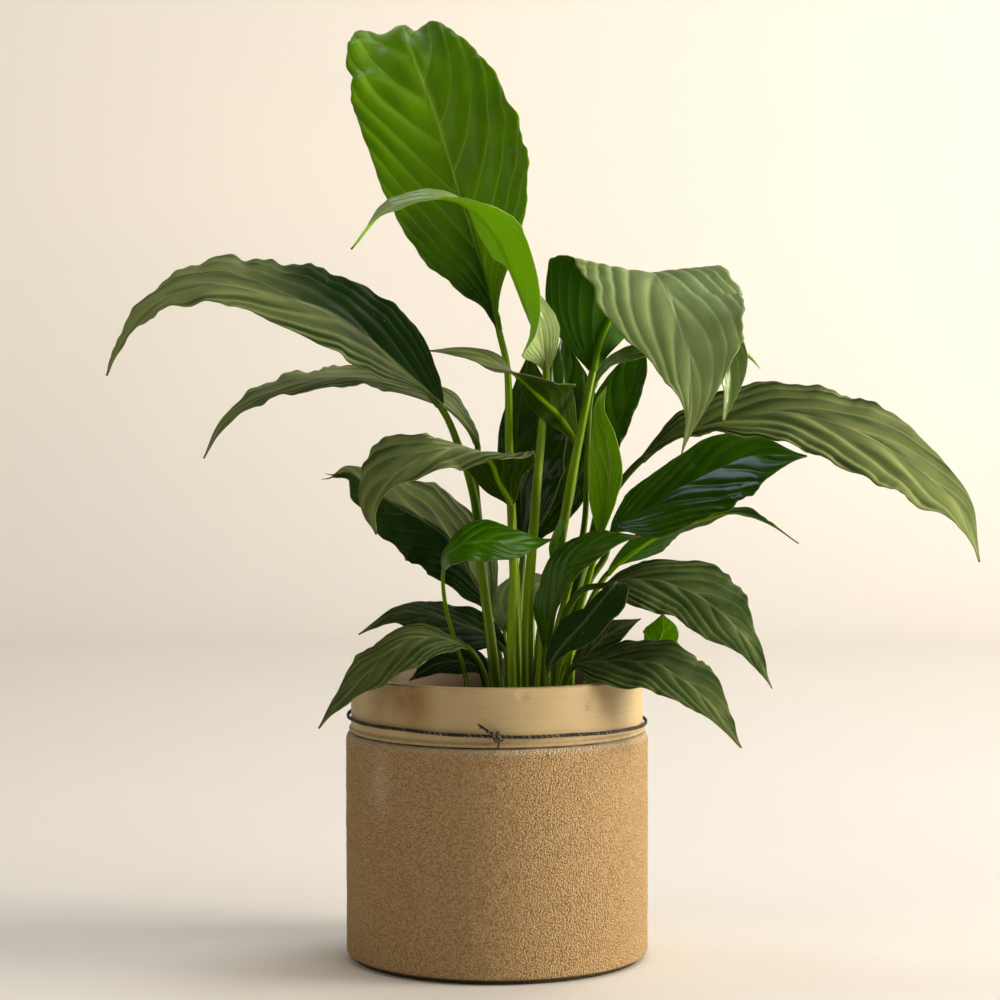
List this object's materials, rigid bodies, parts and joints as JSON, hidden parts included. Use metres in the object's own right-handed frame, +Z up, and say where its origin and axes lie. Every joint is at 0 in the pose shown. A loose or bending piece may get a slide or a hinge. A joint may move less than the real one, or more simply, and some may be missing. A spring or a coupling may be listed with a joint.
{
  "type": "potted peace lily",
  "caption": "Peace lily with long pointed leaves arching from upright stalks, in a sand-textured cylinder planter with a smooth neck and a cord tied round it.",
  "frame": {"origin": "centre of the planter's flat underside", "axes": "+Z up along the planter's axis, +X to the right and +Y away from the viewer as the picture shows it"},
  "size_m": [0.4193, 0.1556, 0.4621],
  "materials": {
    "cast_stone": "dry sand-textured cast body with a smooth cream neck",
    "soil": "loose dark potting soil",
    "cord": "twisted dark cord",
    "fresh_leaf": "waxy mid green, paler veins",
    "young_leaf": "waxy yellow-green",
    "olive_leaf": "waxy olive green with a grey sheen on the ribs",
    "pale_leaf": "waxy pale grey-green",
    "deep_leaf": "glossy dark green",
    "stalk": "smooth yellow-green"
  },
  "bodies": {
    "root": {"pot": "cast_stone", "potting_soil": "soil", "neck_cord": "cord", "cord_knot": "cord", "tall_leaf": "fresh_leaf", "tall_stalk": "stalk", "narrow_leaf": "fresh_leaf", "narrow_stalk": "stalk", "left_long_leaf": "olive_leaf", "left_long_stalk": "stalk", "left_lower_leaf": "olive_leaf", "left_lower_stalk": "stalk", "folded_leaf": "pale_leaf", "folded_stalk": "stalk", "right_long_leaf": "olive_leaf", "right_long_stalk": "stalk", "right_glossy_leaf": "deep_leaf", "right_glossy_stalk": "stalk", "right_light_leaf": "young_leaf", "right_light_stalk": "stalk", "inner_arched_leaf": "deep_leaf", "inner_arched_stalk": "stalk", "right_ribbed_leaf": "olive_leaf", "right_ribbed_stalk": "stalk", "right_rim_leaf": "olive_leaf", "right_rim_stalk": "stalk", "inner_droop_leaf": "deep_leaf", "inner_droop_stalk": "stalk", "inner_olive_leaf": "olive_leaf", "inner_olive_stalk": "stalk", "backlit_leaf": "young_leaf", "backlit_stalk": "stalk", "left_ribbed_leaf": "olive_leaf", "left_ribbed_stalk": "stalk", "left_dark_leaf": "deep_leaf", "left_dark_stalk": "stalk", "small_bright_leaf": "young_leaf", "small_bright_stalk": "stalk", "left_rim_leaf": "olive_leaf", "left_rim_stalk": "stalk", "left_behind_leaf": "deep_leaf", "left_behind_stalk": "stalk", "inside_left_leaf": "deep_leaf", "inside_left_stalk": "stalk", "back_left_leaf": "deep_leaf", "back_left_stalk": "stalk", "back_mid_leaf": "deep_leaf", "back_mid_stalk": "stalk", "back_right_leaf": "deep_leaf", "back_right_stalk": "stalk", "centre_under_leaf": "olive_leaf", "centre_under_stalk": "stalk", "rolled_leaf": "young_leaf", "rolled_stalk": "stalk", "behind_fold_leaf": "fresh_leaf", "behind_fold_stalk": "stalk", "young_spear_leaf": "young_leaf", "young_spear_stalk": "stalk", "back_pale_leaf": "pale_leaf", "back_pale_stalk": "stalk"}
  },
  "joints": []
}
